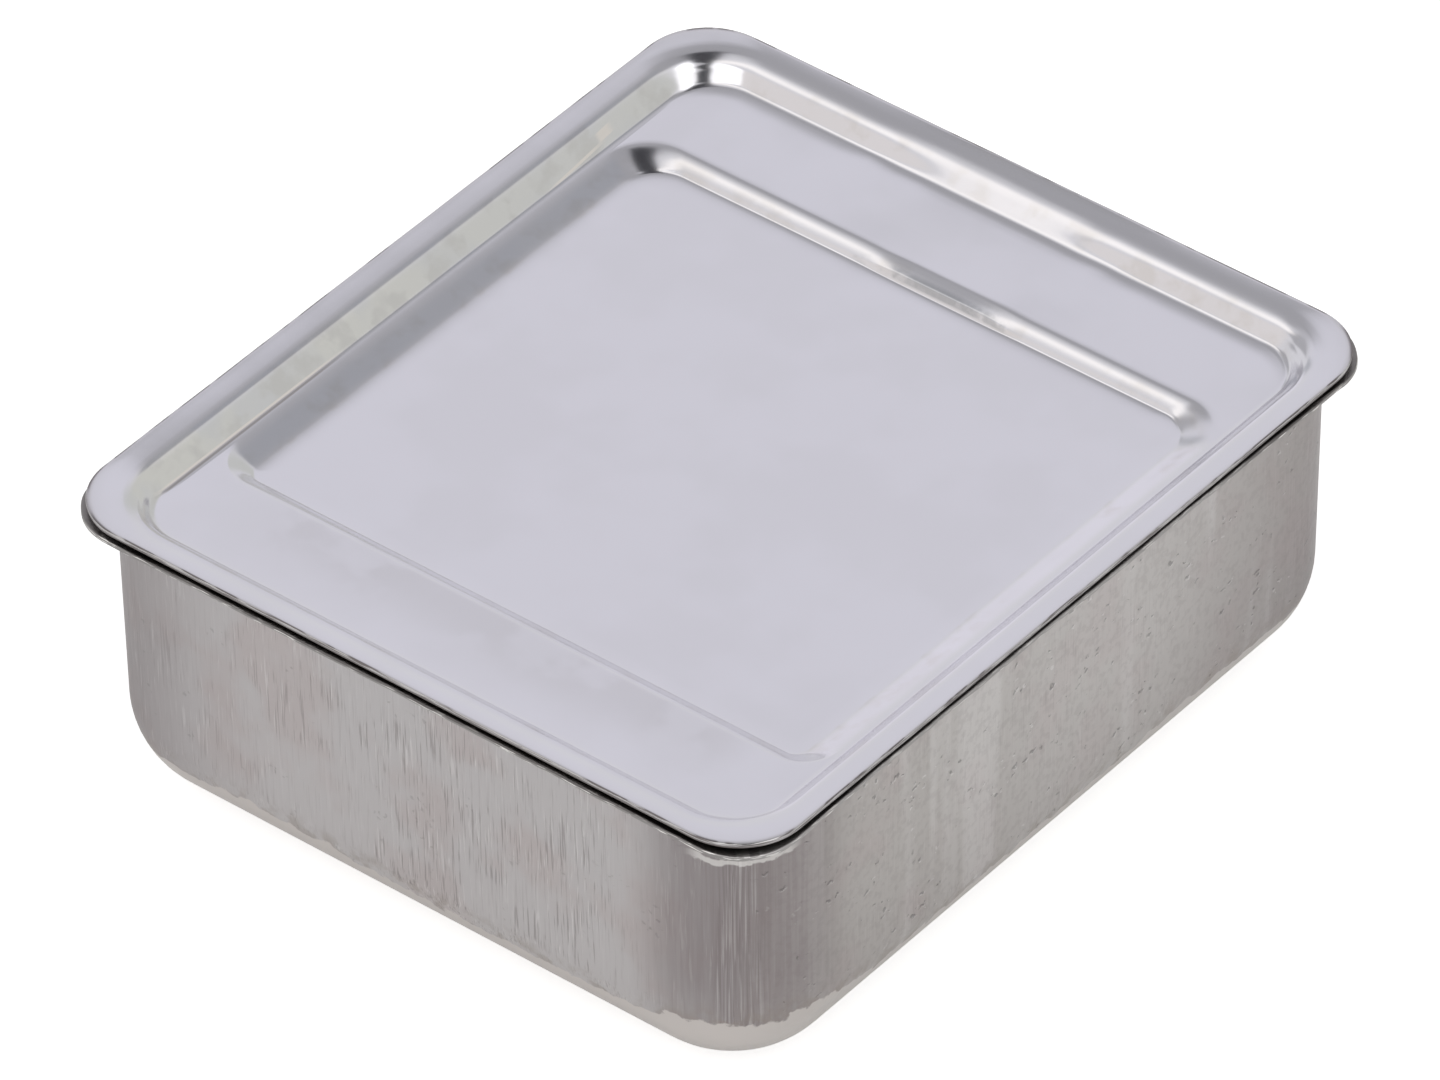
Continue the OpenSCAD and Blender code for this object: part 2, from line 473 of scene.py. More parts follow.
def mathNode(tree, operation, a, b=None, clamp=False):
    inputs = {0: a} if b is None else {0: a, 1: b}
    return addNode(tree, "ShaderNodeMath", inputs, operation=operation, use_clamp=clamp).outputs[0]


def vectorNode(tree, operation, a, b, output="Vector"):
    return addNode(tree, "ShaderNodeVectorMath", {0: a, 1: b}, operation=operation).outputs[output]


def rangeNode(tree, value, low, high, toLow=0.0, toHigh=1.0, kind="SMOOTHSTEP"):
    inputs = {"Value": value, "From Min": low, "From Max": high, "To Min": toLow, "To Max": toHigh}
    return addNode(tree, "ShaderNodeMapRange", inputs, interpolation_type=kind).outputs[0]


def noiseNode(tree, place, scale, detail, output=0):
    inputs = {"Vector": place, "Scale": scale, "Detail": detail}
    return addNode(tree, "ShaderNodeTexNoise", inputs).outputs[output]


# The sockets of a mix node for colours come after those for numbers and vectors
def mixColor(tree, factor, a, b):
    return addNode(tree, "ShaderNodeMix", {0: factor, 6: a, 7: b}, data_type="RGBA").outputs[2]


# Upright becomes level, so that drawn lines run along a trimmed edge
def turned(tree, place):
    axes = addNode(tree, "ShaderNodeSeparateXYZ", {0: place}).outputs
    along = mathNode(tree, "ADD", axes[0], axes[1])
    return addNode(tree, "ShaderNodeCombineXYZ", {0: axes[2], 1: 0.0, 2: along}).outputs[0]


# Effects that both finishes use. Places and sizes are in millimetres on the piece.
noiseDetail = {"clouds": 3.0, "lines": 2.0}


def makeCloudGroup():
    tree, given, mask = newGroup("tinClouds", {"Place": None, "Size": 5.0, "Low": 0.4, "High": 0.6})
    scale = mathNode(tree, "DIVIDE", 1.0, given["Size"])
    grain = noiseNode(tree, given["Place"], scale, noiseDetail["clouds"])
    tree.links.new(rangeNode(tree, grain, given["Low"], given["High"]), mask)
    return tree


def makeLineGroup():
    tree, given, mask = newGroup("drawnLines", {
        "Place": None, "Fineness": 8.0, "Length": 3.0, "Low": 0.55, "High": 0.7})
    fineness, along = given["Fineness"], mathNode(tree, "DIVIDE", 1.0, given["Length"])
    stretch = addNode(tree, "ShaderNodeCombineXYZ", {0: fineness, 1: fineness, 2: along})
    place = vectorNode(tree, "MULTIPLY", given["Place"], stretch.outputs[0])
    grain = noiseNode(tree, place, 1.0, noiseDetail["lines"])
    tree.links.new(rangeNode(tree, grain, given["Low"], given["High"]), mask)
    return tree


pitLook = {
    "sizes": (0.0, 1.0, 0.4, 1.3),   # by chance, as shares of the radius
    "core": 0.5,                     # share of a pit's radius at which it is full
}


def makePitGroup(look):
    tree, given, mask = newGroup("smallPits", {
        "Place": None, "Spacing": 1.5, "Radius": 0.06, "Share": 0.3})
    scale = mathNode(tree, "DIVIDE", 1.0, given["Spacing"])
    cells = addNode(tree, "ShaderNodeTexVoronoi", {"Vector": given["Place"], "Scale": scale})
    away = mathNode(tree, "MULTIPLY", cells.outputs["Distance"], given["Spacing"])
    chance = addNode(tree, "ShaderNodeSeparateColor", {0: cells.outputs["Color"]}).outputs
    radius = mathNode(tree, "MULTIPLY", given["Radius"], rangeNode(tree, chance[1], *look["sizes"]))
    spot = rangeNode(tree, away, mathNode(tree, "MULTIPLY", radius, look["core"]), radius, 1.0, 0.0)
    chosen = mathNode(tree, "LESS_THAN", chance[0], given["Share"])
    tree.links.new(mathNode(tree, "MULTIPLY", spot, chosen), mask)
    return tree


tinClouds = makeCloudGroup()
drawnLines = makeLineGroup()
smallPits = makePitGroup(pitLook)


def newFinish(name):
    material = bpy.data.materials.new(name)
    material.use_nodes = True
    tree = material.node_tree
    tree.nodes.clear()
    coords = addNode(tree, "ShaderNodeTexCoord").outputs["Object"]
    place = vectorNode(tree, "MULTIPLY", coords, (1 / mm, 1 / mm, 1 / mm))
    shader = addNode(tree, "ShaderNodeBsdfPrincipled")
    addNode(tree, "ShaderNodeOutputMaterial", {0: shader.outputs[0]})
    return material, tree, place, shader


def markOf(tree, name):
    return addNode(tree, "ShaderNodeAttribute", attribute_name=name).outputs["Fac"]


# What both finishes draw with. In their tables a range is (from, to) or (from, to, value there, value
# there), a band is (start, full, fade, stop), clouds are (size, low, high), lines are (fineness, length,
# low, high, shift), and low and high are the limits of the noise that shows. A name that ends in Range
# works on the mask that it is named after.
def brushes(tree, place, finish):
    def times(*values):
        product = values[0]
        for value in values[1:]:
            product = mathNode(tree, "MULTIPLY", product, value)
        return product

    def ranged(value, key, kind="SMOOTHSTEP"):
        return rangeNode(tree, value, *finish[key], kind=kind)

    def clouds(key):
        size, low, high = finish[key]
        return useGroup(tree, tinClouds, {"Place": place, "Size": size, "Low": low, "High": high})

    def lines(key, at=place):
        fineness, length, low, high, shift = finish[key]
        return useGroup(tree, drawnLines, {
            "Place": vectorNode(tree, "ADD", at, shift),
            "Fineness": fineness, "Length": length, "Low": low, "High": high})

    return times, ranged, clouds, lines


# The trimmed edges and the gap are paler along the side at +X, up to its far end: their painted shade is
# weaker there
plusSide = {"x": (23.0, 24.6), "y": (12.0, 18.0, 1.0, 0.0)}


def onPlusSide(tree, x, y):
    near, along = rangeNode(tree, x, *plusSide["x"]), rangeNode(tree, y, *plusSide["y"])
    return mathNode(tree, "MULTIPLY", near, along)


coverFinish = {
    "tin": (0.80, 0.79, 0.835, 1),
    "haze": (0.785, 0.775, 0.815, 1),
    "hazeClouds": (7.0, 0.35, 0.65),
    "roughness": (0, 1, 0.14, 0.17),     # in tin and in haze
    "dents": (0.9, 2.0),                 # scale and detail
    "dentBump": {"Strength": 0.2, "Distance": 0.00001},
    # The pressed walls
    "wallSlope": (0.25, 0.5),            # sines of the slopes between which it sets in
    "wallTin": (0.85, 0.83, 0.83, 1),
    "wallTinClouds": (5.0, 0.4, 0.6),
    "leftX": (-22.0, -21.0, 1.0, 0.0),
    "leftY": (-8.0, 14.0, 0.9, 0.45),
    "wallWarm": (0.74, 0.72, 0.735, 1),
    "wallWarmClouds": (2.2, 0.48, 0.66),
    "wallWarmShare": 0.8,
    # Thin painted highlights and painted shade along the creases of the left wall: limits across, lean,
    # band along Y, shade
    "creases": [
        ((-22.22, -22.04), 0.0, (-24.0, -22.0, -10.0, -6.0), "creaseLight"),
        ((-22.04, -21.92), 0.0, (-24.0, -22.0, -10.0, -6.0), "creaseDark"),
        ((-21.60, -21.48), 0.05, (11.0, 13.0, 15.5, 17.5), "creaseLight"),
        ((-21.95, -21.58), 0.05, (16.4, 16.9, 17.5, 18.2), "creaseLight"),
    ],
    "creaseSoft": 0.02,
    "creaseLight": (0.93, 0.87, 0.86, 1),
    "creaseDark": (0.62, 0.59, 0.59, 1),
    # A darker, mottled tone over the middle of the near shelf
    "shelfHaze": (0.67, 0.655, 0.675, 1),
    "shelfClouds": (5.0, 0.4, 0.62),
    "shelfCloudsRange": (0, 1, 0.25, 0.8),
    "shelfX": (14.0, 19.0, 0.75, 0.0),   # by the distance from the middle
    "shelfY": (-24.5, -20.2, -19.6, -19.1),
    # Painted shade over the middle of the far end's second step
    "smudge": (0.495, 0.50, 0.53, 1),
    "smudgeX": 0.9,
    "farStepShadeReach": (2.2, 5.8, 1.0, 0.0),     # by the distance from the X above, and it wanders
    "smudgeEdge": (1.6, 0.3, 0.7),
    "smudgeEdgeRange": (0, 1, -1.6, 1.6),
    "smudgeY": (18.14, 18.24, 18.5, 18.9),
    "smudgeClouds": (1.0, 0.35, 0.6),
    "smudgeCloudsRange": (0, 1, 1.0, 0.8),
    # The trimmed edge, with painted shade on its lower part, and the gap below it
    "cutTin": (0.62, 0.605, 0.61, 1),
    # Dark of the shear streaks, and painted shade on the edge's lower part
    "cutDark": (0.22, 0.20, 0.20, 1),
    "shear": (16.0, 2.2, 0.47, 0.56, (0, 0, 0)),
    "cutMarkRange": (0.5, 0.9),
    "cutShadeBelow": (19.91, 19.98, 1.0, 0.0),    # heights between which painted shade darkens it, where it meets the gap
    "cutOnPlusSide": (0, 1, 1.0, 0.3),
    # Painted shade in the gap: the cover's underside is coloured this dark where it shows under the edge
    "gap": (0.16, 0.15, 0.145, 1),
    "gapOnPlusSide": 0.4,
}


def makeCoverFinish(finish):
    material, tree, place, shader = newFinish("brightTinplate")
    x, y, z = addNode(tree, "ShaderNodeSeparateXYZ", {0: place}).outputs
    times, ranged, clouds, lines = brushes(tree, place, finish)

    def band(value, limits):
        start, full, fade, stop = limits
        return times(rangeNode(tree, value, start, full), rangeNode(tree, value, fade, stop, 1.0, 0.0))

    haze = clouds("hazeClouds")
    color = mixColor(tree, haze, finish["tin"], finish["haze"])
    wall = ranged(markOf(tree, "wall"), "wallSlope")
    leftWall = times(wall, ranged(x, "leftX"), ranged(y, "leftY"))
    color = mixColor(tree, times(leftWall, clouds("wallTinClouds")), color, finish["wallTin"])
    warm = times(wall, clouds("wallWarmClouds"), finish["wallWarmShare"])
    color = mixColor(tree, warm, color, finish["wallWarm"])
    soft = finish["creaseSoft"]
    # Painted highlights and painted shade along the creases of the left wall
    for (low, high), lean, along, shade in finish["creases"]:
        across = mathNode(tree, "ADD", x, mathNode(tree, "MULTIPLY", y, lean))
        line = times(band(y, along), band(across, (low - soft, low + soft, high - soft, high + soft)))
        color = mixColor(tree, line, color, finish[shade])

    # A darker, mottled tone over the middle of the near shelf
    darkened = times(ranged(clouds("shelfClouds"), "shelfCloudsRange"), band(y, finish["shelfY"]),
                 ranged(mathNode(tree, "ABSOLUTE", x), "shelfX"))
    color = mixColor(tree, darkened, color, finish["shelfHaze"])
    # Painted shade over the middle of the far end's second step
    aside = mathNode(tree, "ABSOLUTE", mathNode(tree, "SUBTRACT", x, finish["smudgeX"]))
    aside = mathNode(tree, "ADD", aside, ranged(clouds("smudgeEdge"), "smudgeEdgeRange"))
    darkened = times(ranged(aside, "farStepShadeReach"), band(y, finish["smudgeY"]),
                 ranged(clouds("smudgeClouds"), "smudgeCloudsRange"))
    color = mixColor(tree, darkened, color, finish["smudge"])

    plusX = onPlusSide(tree, x, y)
    # Painted shade on the lower part of the trimmed edge, weaker on the side at +X
    low = times(ranged(z, "cutShadeBelow"), ranged(plusX, "cutOnPlusSide"))
    shear = mathNode(tree, "MAXIMUM", lines("shear", turned(tree, place)), low)
    cut = markOf(tree, "cutEdge")
    edge = mixColor(tree, times(shear, ranged(cut, "cutMarkRange")), finish["cutTin"], finish["cutDark"])
    color = mixColor(tree, cut, color, edge)
    # Painted shade of the gap over the underside, paler on the side at +X
    gap = mixColor(tree, times(plusX, finish["gapOnPlusSide"]), finish["gap"], finish["tin"])
    color = mixColor(tree, markOf(tree, "gap"), color, gap)
    dents = noiseNode(tree, place, *finish["dents"])
    bump = addNode(tree, "ShaderNodeBump", {**finish["dentBump"], "Height": dents})
    plug(tree, shader, {"Base Color": color, "Metallic": 1.0, "Roughness": ranged(haze, "roughness"),
                        "Normal": bump.outputs[0]})
    return material


canFinish = {
    "scuffed": (0.60, 0.58, 0.585, 1),
    "scuffedWarm": (0.58, 0.555, 0.54, 1),   # on the long walls
    "clean": (0.69, 0.65, 0.63, 1),          # round the base, below the marks
    "dark": (0.24, 0.205, 0.21, 1),
    "bright": (0.86, 0.84, 0.84, 1),
    "pink": (0.56, 0.50, 0.495, 1),
    "smear": (0.36, 0.31, 0.28, 1),
    "pit": (0.12, 0.11, 0.11, 1),
    "cutTin": (0.36, 0.345, 0.34, 1),
    # Painted highlight, on the trimmed edge and on the fold under the flange
    "cutHighlight": (0.95, 0.93, 0.91, 1),
    # Painted shade at the top of the trimmed edge
    "cutDark": (0.12, 0.11, 0.11, 1),
    # Painted shade in the gap: the flange top and the inside of the mouth are coloured this dark under
    # the cover
    "gap": (0.12, 0.105, 0.10, 1),
    "roughness": (0, 1, 0.28, 0.36),         # where it is clean and where it is scuffed
    "markBump": {"Strength": 0.6, "Distance": 0.00003},
    "pitDepth": 2.0,                         # against a line's depth
    # Parts of the wall. Nearness is x - y, and what the draft takes from it low down is added again.
    "longSide": (0.5, 0.95),                 # by how far the wall faces along X
    "draft": (0.0, 19.5, 0.61, 0.0),
    # Painted shade round the near corner, by nearness
    "nearCorner": (44.0, 48.4),
    "nearCornerLow": (5.0, 9.0, 0.6, 1.0),   # weaker low down
    "veryCorner": (48.93, 49.0),
    "veryCornerLean": -0.06,                 # it lies a little to the left
    # The torn line round the base where the marks end: scale and detail of its waves, and their heights
    "wave": (0.12, 1.0),
    "waveRange": (0.3, 0.7, -0.2, 0.2),
    "torn": (0.8, 5.0),
    "tornRange": (0.3, 0.7, -0.4, 0.4),
    "markLow": (43.0, 48.2, 4.05, 5.3),      # its height on the walls and at the near corner, by nearness
    "markSoft": (-0.08, 0.08),
    "smearRise": (0.0, 1.6, 1.0, 0.0),
    "smearClouds": (1.2, 0.42, 0.6),
    # Marks of the drawing tool, and where they are weaker
    "darkLines": (9.0, 3.6, 0.55, 0.66, (0, 0, 0)),
    "brightLines": (8.0, 3.0, 0.56, 0.66, (31, 17, 5)),
    "longSideMarks": (0, 1, 1.0, 0.3),
    "markClouds": (3.0, 0.42, 0.6),
    "markCloudsRange": (0, 1, 0.3, 1.0),
    "markFar": (8.0, 30.0, 0.5, 1.0),
    "markNear": (40.5, 45.5, 1.0, 0.3),
    "broadLines": (0.32, 60.0, 0.5, 0.62, (0, 0, 0)),
    # Streaks at the corners, which break up the painted shade there
    "streaks": (4.0, 25.0, 0.42, 0.6, (7, 3, 11)),
    "cornerStreaks": (0, 1, 0.85, 1.0),
    "nearStreaks": (0, 1, 0.9, 1.0),
    "fineStreaks": (9.0, 12.0, 0.5, 0.6, (3, 9, 1)),
    "darkStreaks": (7.0, 20.0, 0.45, 0.6, (1, 5, 9)),
    # Ragged pits, each with a bright speck beside it on the long walls, a painted highlight on the pit's
    # rim
    "ragged": (2.2, 3.0, "Color"),
    "raggedBy": (0.8, 0.8, 0.8),
    "pitSquash": (1, 0.6, 1.1),
    "pits": {"Spacing": 0.5, "Radius": 0.15, "Share": 0.9},
    "pitSize": 2.4,                          # of the patches that they lie in
    "pitLow": (0, 1, 0.6, 0.51),             # the noise above which a patch shows, end and long walls
    "pitSoft": 0.05,
    "longSidePits": (0, 1, 0.4, 1.0),
    "speckShift": (0.05, -0.05, 0.09),
    "speckClouds": (2.4, 0.51, 0.56),
    "speckNear": (40.0, 46.0, 1.0, 0.3),
    # Peeled spots, which only show in the bump
    "peel": (2.4, 3.0),
    "peelRange": (0.35, 0.65),
    "peelClouds": (5.0, 0.4, 0.6),
    "peelShare": 0.6,
    # The painted highlight on the fold under the flange at the near corner
    "foldLean": 0.55,                        # how fast it sinks with nearness
    "foldHeight": 44.07,                     # of z + foldLean x nearness
    "foldClouds": (0.9, 0.3, 0.7),
    "foldCloudsRange": (0, 1, -0.12, 0.12),
    "foldWidth": (0.16, 0.3, 1.0, 0.0),
    "foldNear": (47.6, 48.3),
    # Broad light and shade
    "midLightY": 4.0,
    "midLightReach": (3.0, 17.0, 1.0, 0.0),
    "leftEnd": (-25.0, -8.0, 1.0, 0.0),
    "farSide": (5.0, 20.0),
    "lowSide": (4.0, 14.0, 1.0, 0.0),
    "pinkClouds": (6.0, 0.45, 0.65),
    "grime": (0.45, 0.45, 0.65),
    # What lies over what: mask, share, colour. The two corner layers are painted shade, with the denser
    # drawing marks at the corners
    "layers": [
        ("pinkClouds", 0.6, "pink"), ("broadLines", 0.4, "bright"), ("midLight", 0.24, "bright"),
        ("corner", 0.52, "dark"), ("nearCorner", 0.56, "dark"), ("fineStreaks", 0.24, "bright"),
        ("darkStreaks", 0.42, "dark"), ("grime", 0.14, "dark"), ("pitHighlights", 0.6, "bright"),
        ("leftEnd", 0.4, "dark"), ("farSide", 0.24, "dark"), ("lowSide", 0.13, "dark"),
        ("darkLines", 0.48, "dark"), ("brightLines", 0.4, "bright"), ("pits", 0.52, "pit"),
        ("smear", 0.5, "smear"), ("foldHighlight", 0.6, "cutHighlight"),
    ],
    # The trimmed edge, with a painted highlight and painted shade at its top, and the gap above it
    "shear": (9.0, 1.2, 0.54, 0.62, (0, 0, 0)),
    "cutShadeAbove": (19.42, 19.47, 0.0, 0.8),    # heights between which painted shade darkens it, where it meets the gap
    "cutOnPlusSide": (0, 1, 1.0, 0.4),
    "paleOnPlusSide": 0.4,
    "gapOnPlusSide": 0.35,
}


def makeCanFinish(finish):
    material, tree, place, shader = newFinish("drawnTin")
    x, y, z = addNode(tree, "ShaderNodeSeparateXYZ", {0: place}).outputs
    times, ranged, clouds, lines = brushes(tree, place, finish)

    def plus(a, b):
        return mathNode(tree, "ADD", a, b)

    def minus(a, b):
        return mathNode(tree, "SUBTRACT", a, b)

    normal = addNode(tree, "ShaderNodeTexCoord").outputs["Normal"]
    facingX = mathNode(tree, "ABSOLUTE", addNode(tree, "ShaderNodeSeparateXYZ", {0: normal}).outputs[0])
    longSide = ranged(facingX, "longSide")
    nearness = plus(minus(x, y), ranged(z, "draft", "LINEAR"))
    nearCorner = times(ranged(nearness, "nearCorner"), ranged(z, "nearCornerLow"))
    leaning = plus(nearness, times(plus(x, y), finish["veryCornerLean"]))
    veryCorner = ranged(leaning, "veryCorner")

    wave = ranged(noiseNode(tree, place, *finish["wave"]), "waveRange", "LINEAR")
    torn = ranged(noiseNode(tree, place, *finish["torn"]), "tornRange", "LINEAR")
    level = minus(plus(plus(z, wave), torn), ranged(nearness, "markLow"))
    scuffed = ranged(level, "markSoft")

    strength = times(scuffed, ranged(longSide, "longSideMarks"),
                     ranged(clouds("markClouds"), "markCloudsRange"),
                     ranged(nearness, "markFar"), ranged(nearness, "markNear"))
    darkLines = times(lines("darkLines"), strength)
    brightLines = times(lines("brightLines"), strength)
    streaks = lines("streaks")

    ragged = vectorNode(tree, "MULTIPLY", noiseNode(tree, place, *finish["ragged"]), finish["raggedBy"])
    ragged = vectorNode(tree, "MULTIPLY", vectorNode(tree, "ADD", place, ragged), finish["pitSquash"])
    pitted = ranged(longSide, "pitLow")
    patches = useGroup(tree, tinClouds, {"Place": place, "Size": finish["pitSize"], "Low": pitted,
                                         "High": plus(pitted, finish["pitSoft"])})
    pits = times(useGroup(tree, smallPits, {"Place": ragged, **finish["pits"]}), patches, scuffed,
                 ranged(longSide, "longSidePits"))
    # Painted highlight: a bright speck beside each pit
    beside = vectorNode(tree, "ADD", ragged, finish["speckShift"])
    pitHighlights = times(useGroup(tree, smallPits, {"Place": beside, **finish["pits"]}), clouds("speckClouds"),
                   longSide, scuffed, ranged(nearness, "speckNear"))

    fold = plus(z, ranged(clouds("foldClouds"), "foldCloudsRange"))
    fold = minus(plus(fold, times(nearness, finish["foldLean"])), finish["foldHeight"])
    fromMiddle = mathNode(tree, "ABSOLUTE", minus(y, finish["midLightY"]))
    masks = {
        "pinkClouds": clouds("pinkClouds"),
        "broadLines": times(lines("broadLines"), longSide),
        "midLight": times(ranged(fromMiddle, "midLightReach"), longSide),
        # Painted shade towards every corner and round the near corner, with the denser drawing marks
        # there
        "corner": times(markOf(tree, "corner"), ranged(streaks, "cornerStreaks")),
        "nearCorner": times(nearCorner, ranged(streaks, "nearStreaks")),
        "fineStreaks": times(lines("fineStreaks"), veryCorner, scuffed),
        "darkStreaks": times(lines("darkStreaks"), veryCorner, scuffed),
        "grime": times(clouds("grime"), longSide),
        "pitHighlights": pitHighlights,
        "leftEnd": ranged(x, "leftEnd"),
        "farSide": times(longSide, ranged(y, "farSide")),
        "lowSide": times(longSide, ranged(z, "lowSide")),
        "darkLines": darkLines,
        "brightLines": brightLines,
        "pits": pits,
        "smear": times(ranged(level, "smearRise"), scuffed, clouds("smearClouds")),
        # Painted highlight on the fold under the flange
        "foldHighlight": times(ranged(mathNode(tree, "ABSOLUTE", fold), "foldWidth"),
                          ranged(nearness, "foldNear")),
    }
    color = mixColor(tree, longSide, finish["scuffed"], finish["scuffedWarm"])
    for name, share, shade in finish["layers"]:
        color = mixColor(tree, times(masks[name], share), color, finish[shade])
    color = mixColor(tree, scuffed, finish["clean"], color)

    plusX = onPlusSide(tree, x, y)
    # Painted highlight along the trimmed edge in broken streaks, and painted shade at its top
    edge = mixColor(tree, lines("shear", turned(tree, place)), finish["cutTin"], finish["cutHighlight"])
    upper = times(ranged(z, "cutShadeAbove"), ranged(plusX, "cutOnPlusSide"))
    edge = mixColor(tree, upper, edge, finish["cutDark"])
    edge = mixColor(tree, times(plusX, finish["paleOnPlusSide"]), edge, finish["scuffed"])
    color = mixColor(tree, markOf(tree, "cutEdge"), color, edge)
    # Painted shade of the gap over the flange top and the mouth, paler on the side at +X
    gap = mixColor(tree, times(plusX, finish["gapOnPlusSide"]), finish["gap"], finish["cutTin"])
    color = mixColor(tree, markOf(tree, "gap"), color, gap)

    peel = times(ranged(noiseNode(tree, place, *finish["peel"]), "peelRange"), longSide,
                 clouds("peelClouds"), finish["peelShare"])
    height = minus(brightLines, plus(darkLines, times(pits, finish["pitDepth"])))
    bump = addNode(tree, "ShaderNodeBump", {**finish["markBump"], "Height": plus(height, peel)})
    plug(tree, shader, {"Base Color": color, "Metallic": 1.0, "Roughness": ranged(scuffed, "roughness"),
                        "Normal": bump.outputs[0]})
    return material


coverPressing.data.materials.append(makeCoverFinish(coverFinish))
canDrawing.data.materials.append(makeCanFinish(canFinish))
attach(coverPressing, "cover")
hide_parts("cover")
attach(canDrawing, "can")
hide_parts("can")
print("finishes on")


# 1 where the camera looks straight at something, and 0 where that is mirrored or gives light
def seenDirectly(tree, path):
    return mathNode(tree, "ADD", path["Is Camera Ray"], path["Is Transmission Ray"], clamp=True)


floorLook = {
    "size": 4.0,                 # metres
    "color": (0.8, 0.8, 0.8, 1),
    "seenGlow": 0.62,            # takes the pale floor up to the white of the photograph
    "mirroredGlow": 0.1,
}


def makeFloor(look):
    mesh = bpy.data.meshes.new("studioFloor")
    s = look["size"] / 2
    mesh.from_pydata([(-s, -s, 0), (s, -s, 0), (s, s, 0), (-s, s, 0)], [], [(0, 1, 2, 3)])
    floor = bpy.data.objects.new("studioFloor", mesh)
    bpy.context.scene.collection.objects.link(floor)
    material = bpy.data.materials.new("paleFloor")
    material.use_nodes = True
    tree = material.node_tree
    tree.nodes.clear()
    path = addNode(tree, "ShaderNodeLightPath").outputs
    seen = mathNode(tree, "MULTIPLY", seenDirectly(tree, path), look["seenGlow"])
    mirrored = mathNode(tree, "MULTIPLY", path["Is Glossy Ray"], look["mirroredGlow"])
    glow = addNode(tree, "ShaderNodeEmission", {"Strength": mathNode(tree, "ADD", seen, mirrored)})
    base = addNode(tree, "ShaderNodeBsdfDiffuse", {"Color": look["color"]})
    both = addNode(tree, "ShaderNodeAddShader", {0: base.outputs[0], 1: glow.outputs[0]})
    addNode(tree, "ShaderNodeOutputMaterial", {0: both.outputs[0]})
    mesh.materials.append(material)


makeFloor(floorLook)

# Soft cards round the object, later ones in front: direction faced, long side, half width, half height,
# softness and colour. Sizes are at one unit from the object.
studio = {
    "plain": (0.77, 0.77, 0.78, 1),
    "seen": (1, 1, 1, 1),        # what the camera sees round the object instead
    "leastAhead": 0.001,         # a ray that goes less than this towards a card passes it by
    "cards": [
        ((-0.48, 0.60, 0.64), (0.78, 0.63, 0), 0.45, 0.30, 0.15, (0.75, 0.745, 0.79, 1)),
        ((0.45, 0.80, 0.38), (0.87, -0.49, 0), 1.0, 0.45, 0.2, (0.625, 0.635, 0.60, 1)),
        ((-0.20, 0.48, 1.0), (0.957, 0.29, 0), 0.62, 0.22, 0.1, (0.41, 0.41, 0.42, 1)),
        ((0.14, 0.60, 0.79), (1, 0, 0), 0.14, 0.12, 0.06, (0.38, 0.39, 0.41, 1)),
        ((-0.48, -0.80, 0.35), (0.86, -0.51, 0), 0.5, 0.6, 0.15, (0.83, 0.80, 0.77, 1)),
        ((-0.84, 0.0, 0.54), (0, 1, 0), 0.28, 0.25, 0.08, (0.47, 0.47, 0.48, 1)),
        ((-0.88, 0.47, 0.0), (0.47, 0.88, 0), 0.08, 0.5, 0.05, (0.50, 0.51, 0.53, 1)),
        ((-0.48, 0.87, 0.03), (0.87, 0.48, 0), 0.22, 0.2, 0.1, (0.72, 0.715, 0.765, 1)),
        ((-0.80, 0.60, 0.07), (0.6, 0.8, 0), 0.13, 0.16, 0.06, (0.845, 0.83, 0.885, 1)),
        ((-0.22, -0.19, 1.0), (1, 0, 0), 0.68, 0.13, 0.1, (1.20, 1.17, 1.12, 1)),
        ((0.50, 0.0, 1.0), (1, -0.1, 0), 0.45, 0.22, 0.07, (1.4, 1.4, 1.4, 1)),
        ((0.66, -0.75, 0.35), (0.75, 0.66, 0), 1.15, 1.45, 0.05, (1.4, 1.4, 1.38, 1)),
        ((0.42, -0.28, 0.86), (0.73, -0.68, 0), 1.4, 0.17, 0.02, (0.035, 0.035, 0.04, 1)),
    ],
}


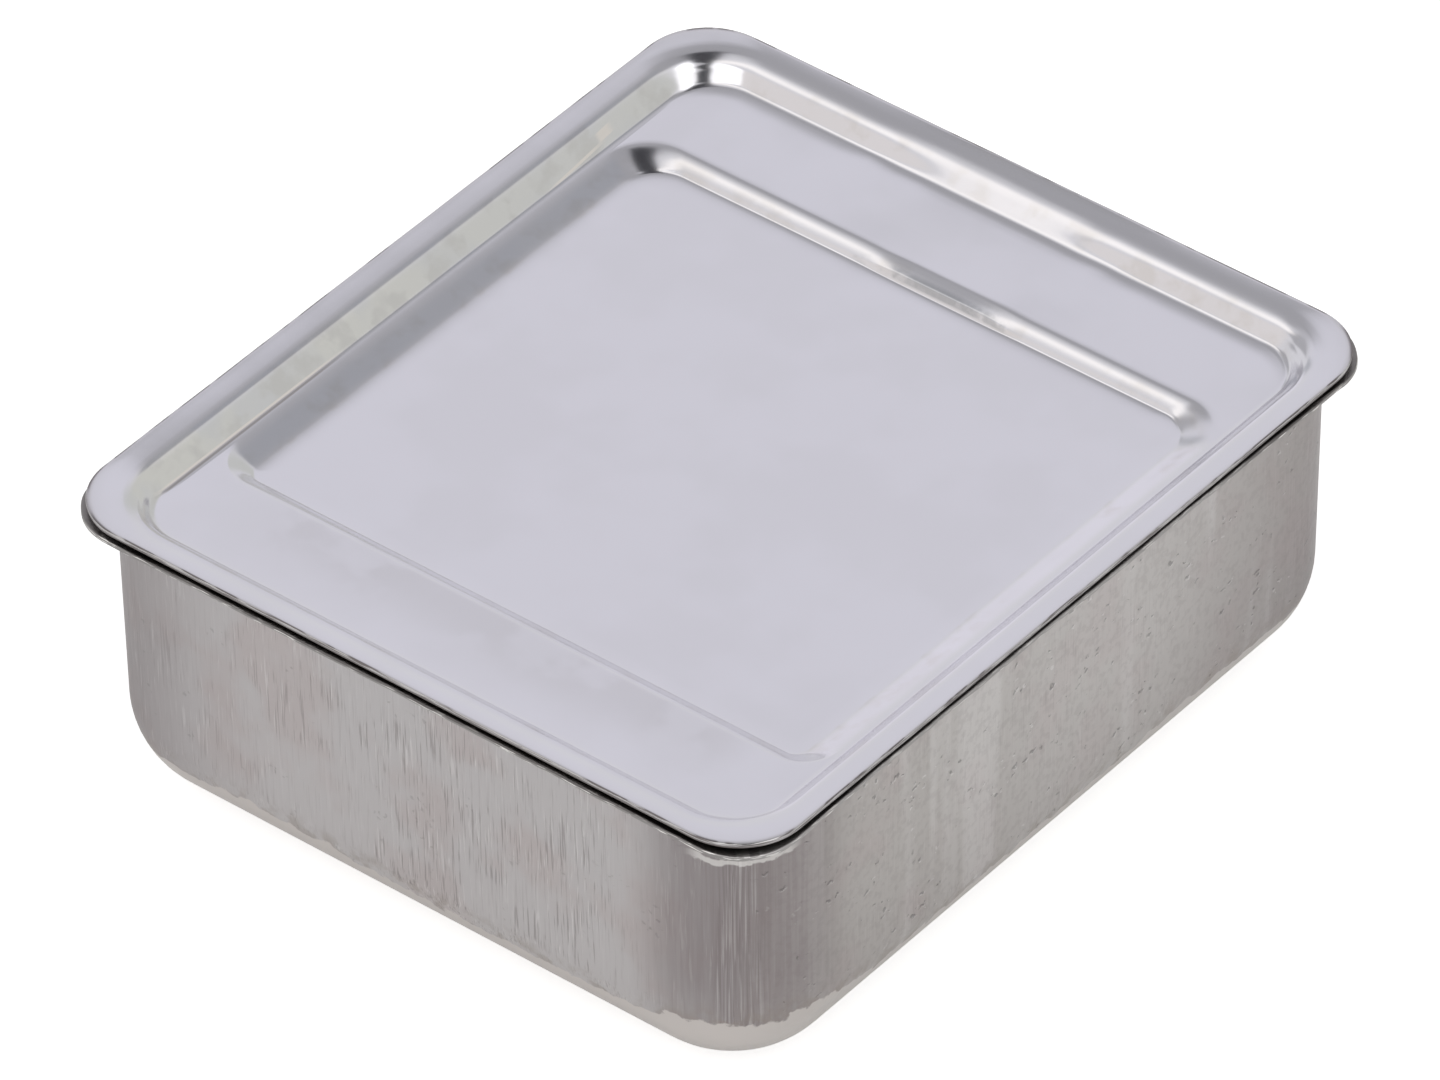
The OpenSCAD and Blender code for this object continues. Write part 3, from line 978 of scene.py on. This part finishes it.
def makeCardGroup(leastAhead):
    tree, given, out = newGroup("softCard", {
        "Ray": None, "Facing": None, "Across": None, "Rise": None,
        "Half Width": 0.3, "Half Height": 0.3, "Softness": 0.1})

    def dot(axis):
        return vectorNode(tree, "DOT_PRODUCT", given["Ray"], given[axis], "Value")

    ahead = mathNode(tree, "MAXIMUM", dot("Facing"), leastAhead)
    mask = mathNode(tree, "GREATER_THAN", dot("Facing"), leastAhead)
    for axis, half in (("Across", "Half Width"), ("Rise", "Half Height")):
        off = mathNode(tree, "ABSOLUTE", mathNode(tree, "DIVIDE", dot(axis), ahead))
        low = mathNode(tree, "SUBTRACT", given[half], given["Softness"])
        high = mathNode(tree, "ADD", given[half], given["Softness"])
        mask = mathNode(tree, "MULTIPLY", mask, rangeNode(tree, off, low, high, 1.0, 0.0))
    tree.links.new(mask, out)
    return tree


def makeStudio(look):
    world = bpy.data.worlds.new("studio")
    bpy.context.scene.world = world
    world.use_nodes = True
    tree = world.node_tree
    tree.nodes.clear()
    ray = addNode(tree, "ShaderNodeTexCoord").outputs["Generated"]
    card = makeCardGroup(look["leastAhead"])
    color = look["plain"]
    for facing, along, halfWidth, halfHeight, softness, shade in look["cards"]:
        facing = Vector(facing).normalized()
        rise = facing.cross(Vector(along)).normalized()
        mask = useGroup(tree, card, {
            "Ray": ray, "Facing": facing, "Across": rise.cross(facing), "Rise": rise,
            "Half Width": halfWidth, "Half Height": halfHeight, "Softness": softness})
        color = mixColor(tree, mask, color, shade)
    seen = seenDirectly(tree, addNode(tree, "ShaderNodeLightPath").outputs)
    color = mixColor(tree, seen, color, look["seen"])
    sky = addNode(tree, "ShaderNodeBackground", {"Color": color, "Strength": 1.0})
    addNode(tree, "ShaderNodeOutputWorld", {0: sky.outputs[0]})


makeStudio(studio)

# Sizes and distances in metres, power in watts
lamps = {
    "keyLamp": {"from": (0.45, -0.02, 0.89), "away": 1.5, "size": (0.7, 0.5), "power": 0.6},
}


def makeLamps(table):
    for name, look in table.items():
        light = bpy.data.lights.new(name, "AREA")
        light.shape = "RECTANGLE"
        light.size, light.size_y = look["size"]
        light.energy = look["power"]
        lamp = bpy.data.objects.new(name, light)
        away = Vector(look["from"]).normalized()
        lamp.location = away * look["away"]
        lamp.rotation_euler = away.to_track_quat("Z", "Y").to_euler()
        bpy.context.scene.collection.objects.link(lamp)


makeLamps(lamps)
bpy.context.scene.view_settings.view_transform = "Standard"
print("studio lit")
